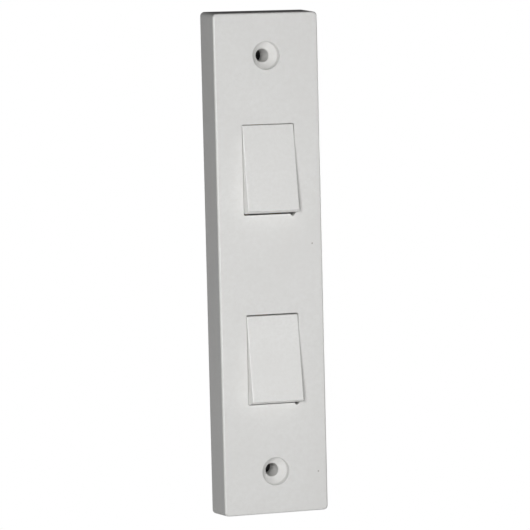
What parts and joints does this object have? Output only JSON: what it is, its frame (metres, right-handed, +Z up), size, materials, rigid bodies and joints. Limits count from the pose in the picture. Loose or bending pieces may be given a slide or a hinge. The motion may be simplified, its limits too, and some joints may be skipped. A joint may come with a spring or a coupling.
{
  "type": "architrave switch",
  "caption": "Narrow upright wall switch for a door frame, with rocker switches one above the other and countersunk fixing holes at the ends.",
  "frame": {"origin": "midway between the two fixing holes, in the plane of the plate's back rim that lies on the wall", "axes": "+X to the right seen from the front, +Y into the wall, +Z up; the front faces -Y"},
  "size_m": [0.032, 0.0257, 0.1464],
  "materials": {
    "white_moulding": "satin",
    "grey_moulding": "matt",
    "natural_nylon": "satin",
    "brass": "satin",
    "contact_silver": "satin",
    "spring_steel": "satin",
    "zinc_steel": "satin"
  },
  "bodies": {
    "switch_base": {"front_plate": "white_moulding", "housing_screws": "zinc_steel", "terminal_screws": "zinc_steel", "upper_housing": "grey_moulding", "upper_fixed_contacts": "contact_silver", "upper_line1_strip": "brass", "upper_line2_strip": "brass", "upper_common_strip": "brass", "upper_line1_terminal": "brass", "upper_common_terminal": "brass", "upper_line2_terminal": "brass", "lower_housing": "grey_moulding", "lower_fixed_contacts": "contact_silver", "lower_line1_strip": "brass", "lower_line2_strip": "brass", "lower_common_strip": "brass", "lower_line1_terminal": "brass", "lower_common_terminal": "brass", "lower_line2_terminal": "brass"},
    "upper_rocker": {"upper_rocker": "white_moulding", "upper_plunger_spring": "spring_steel"},
    "upper_plunger": {"upper_plunger": "natural_nylon"},
    "upper_blade": {"upper_contact_blade": "brass", "upper_moving_contacts": "contact_silver"},
    "lower_rocker": {"lower_rocker": "white_moulding", "lower_plunger_spring": "spring_steel"},
    "lower_plunger": {"lower_plunger": "natural_nylon"},
    "lower_blade": {"lower_contact_blade": "brass", "lower_moving_contacts": "contact_silver"}
  },
  "joints": [
    {"name": "upper_rocker_tilt", "type": "hinge", "parent": "switch_base", "child": "upper_rocker", "pos_m": [0, -0.0102, 0.0276], "axis": [1, 0, 0], "range_deg": [0, 18]},
    {"name": "upper_plunger_slide", "type": "slide", "parent": "upper_rocker", "child": "upper_plunger", "axis": [0, 0.9877, -0.1564], "range_m": [0, 0.00045], "stiffness_N_per_m": 1000, "springref_m": 0.002},
    {"name": "upper_blade_tilt", "type": "hinge", "parent": "switch_base", "child": "upper_blade", "pos_m": [0, 0.0028, 0.0276], "axis": [1, 0, 0], "range_deg": [-14, 0]},
    {"name": "lower_rocker_tilt", "type": "hinge", "parent": "switch_base", "child": "lower_rocker", "pos_m": [0, -0.0102, -0.0276], "axis": [1, 0, 0], "range_deg": [0, 18]},
    {"name": "lower_plunger_slide", "type": "slide", "parent": "lower_rocker", "child": "lower_plunger", "axis": [0, 0.9877, -0.1564], "range_m": [0, 0.00045], "stiffness_N_per_m": 1000, "springref_m": 0.002},
    {"name": "lower_blade_tilt", "type": "hinge", "parent": "switch_base", "child": "lower_blade", "pos_m": [0, 0.0028, -0.0276], "axis": [1, 0, 0], "range_deg": [-14, 0]}
  ],
  "couplings": [
    {"joint": "upper_blade_tilt", "follows": "upper_rocker_tilt", "ratio": -0.7777},
    {"joint": "lower_blade_tilt", "follows": "lower_rocker_tilt", "ratio": -0.7777}
  ]
}
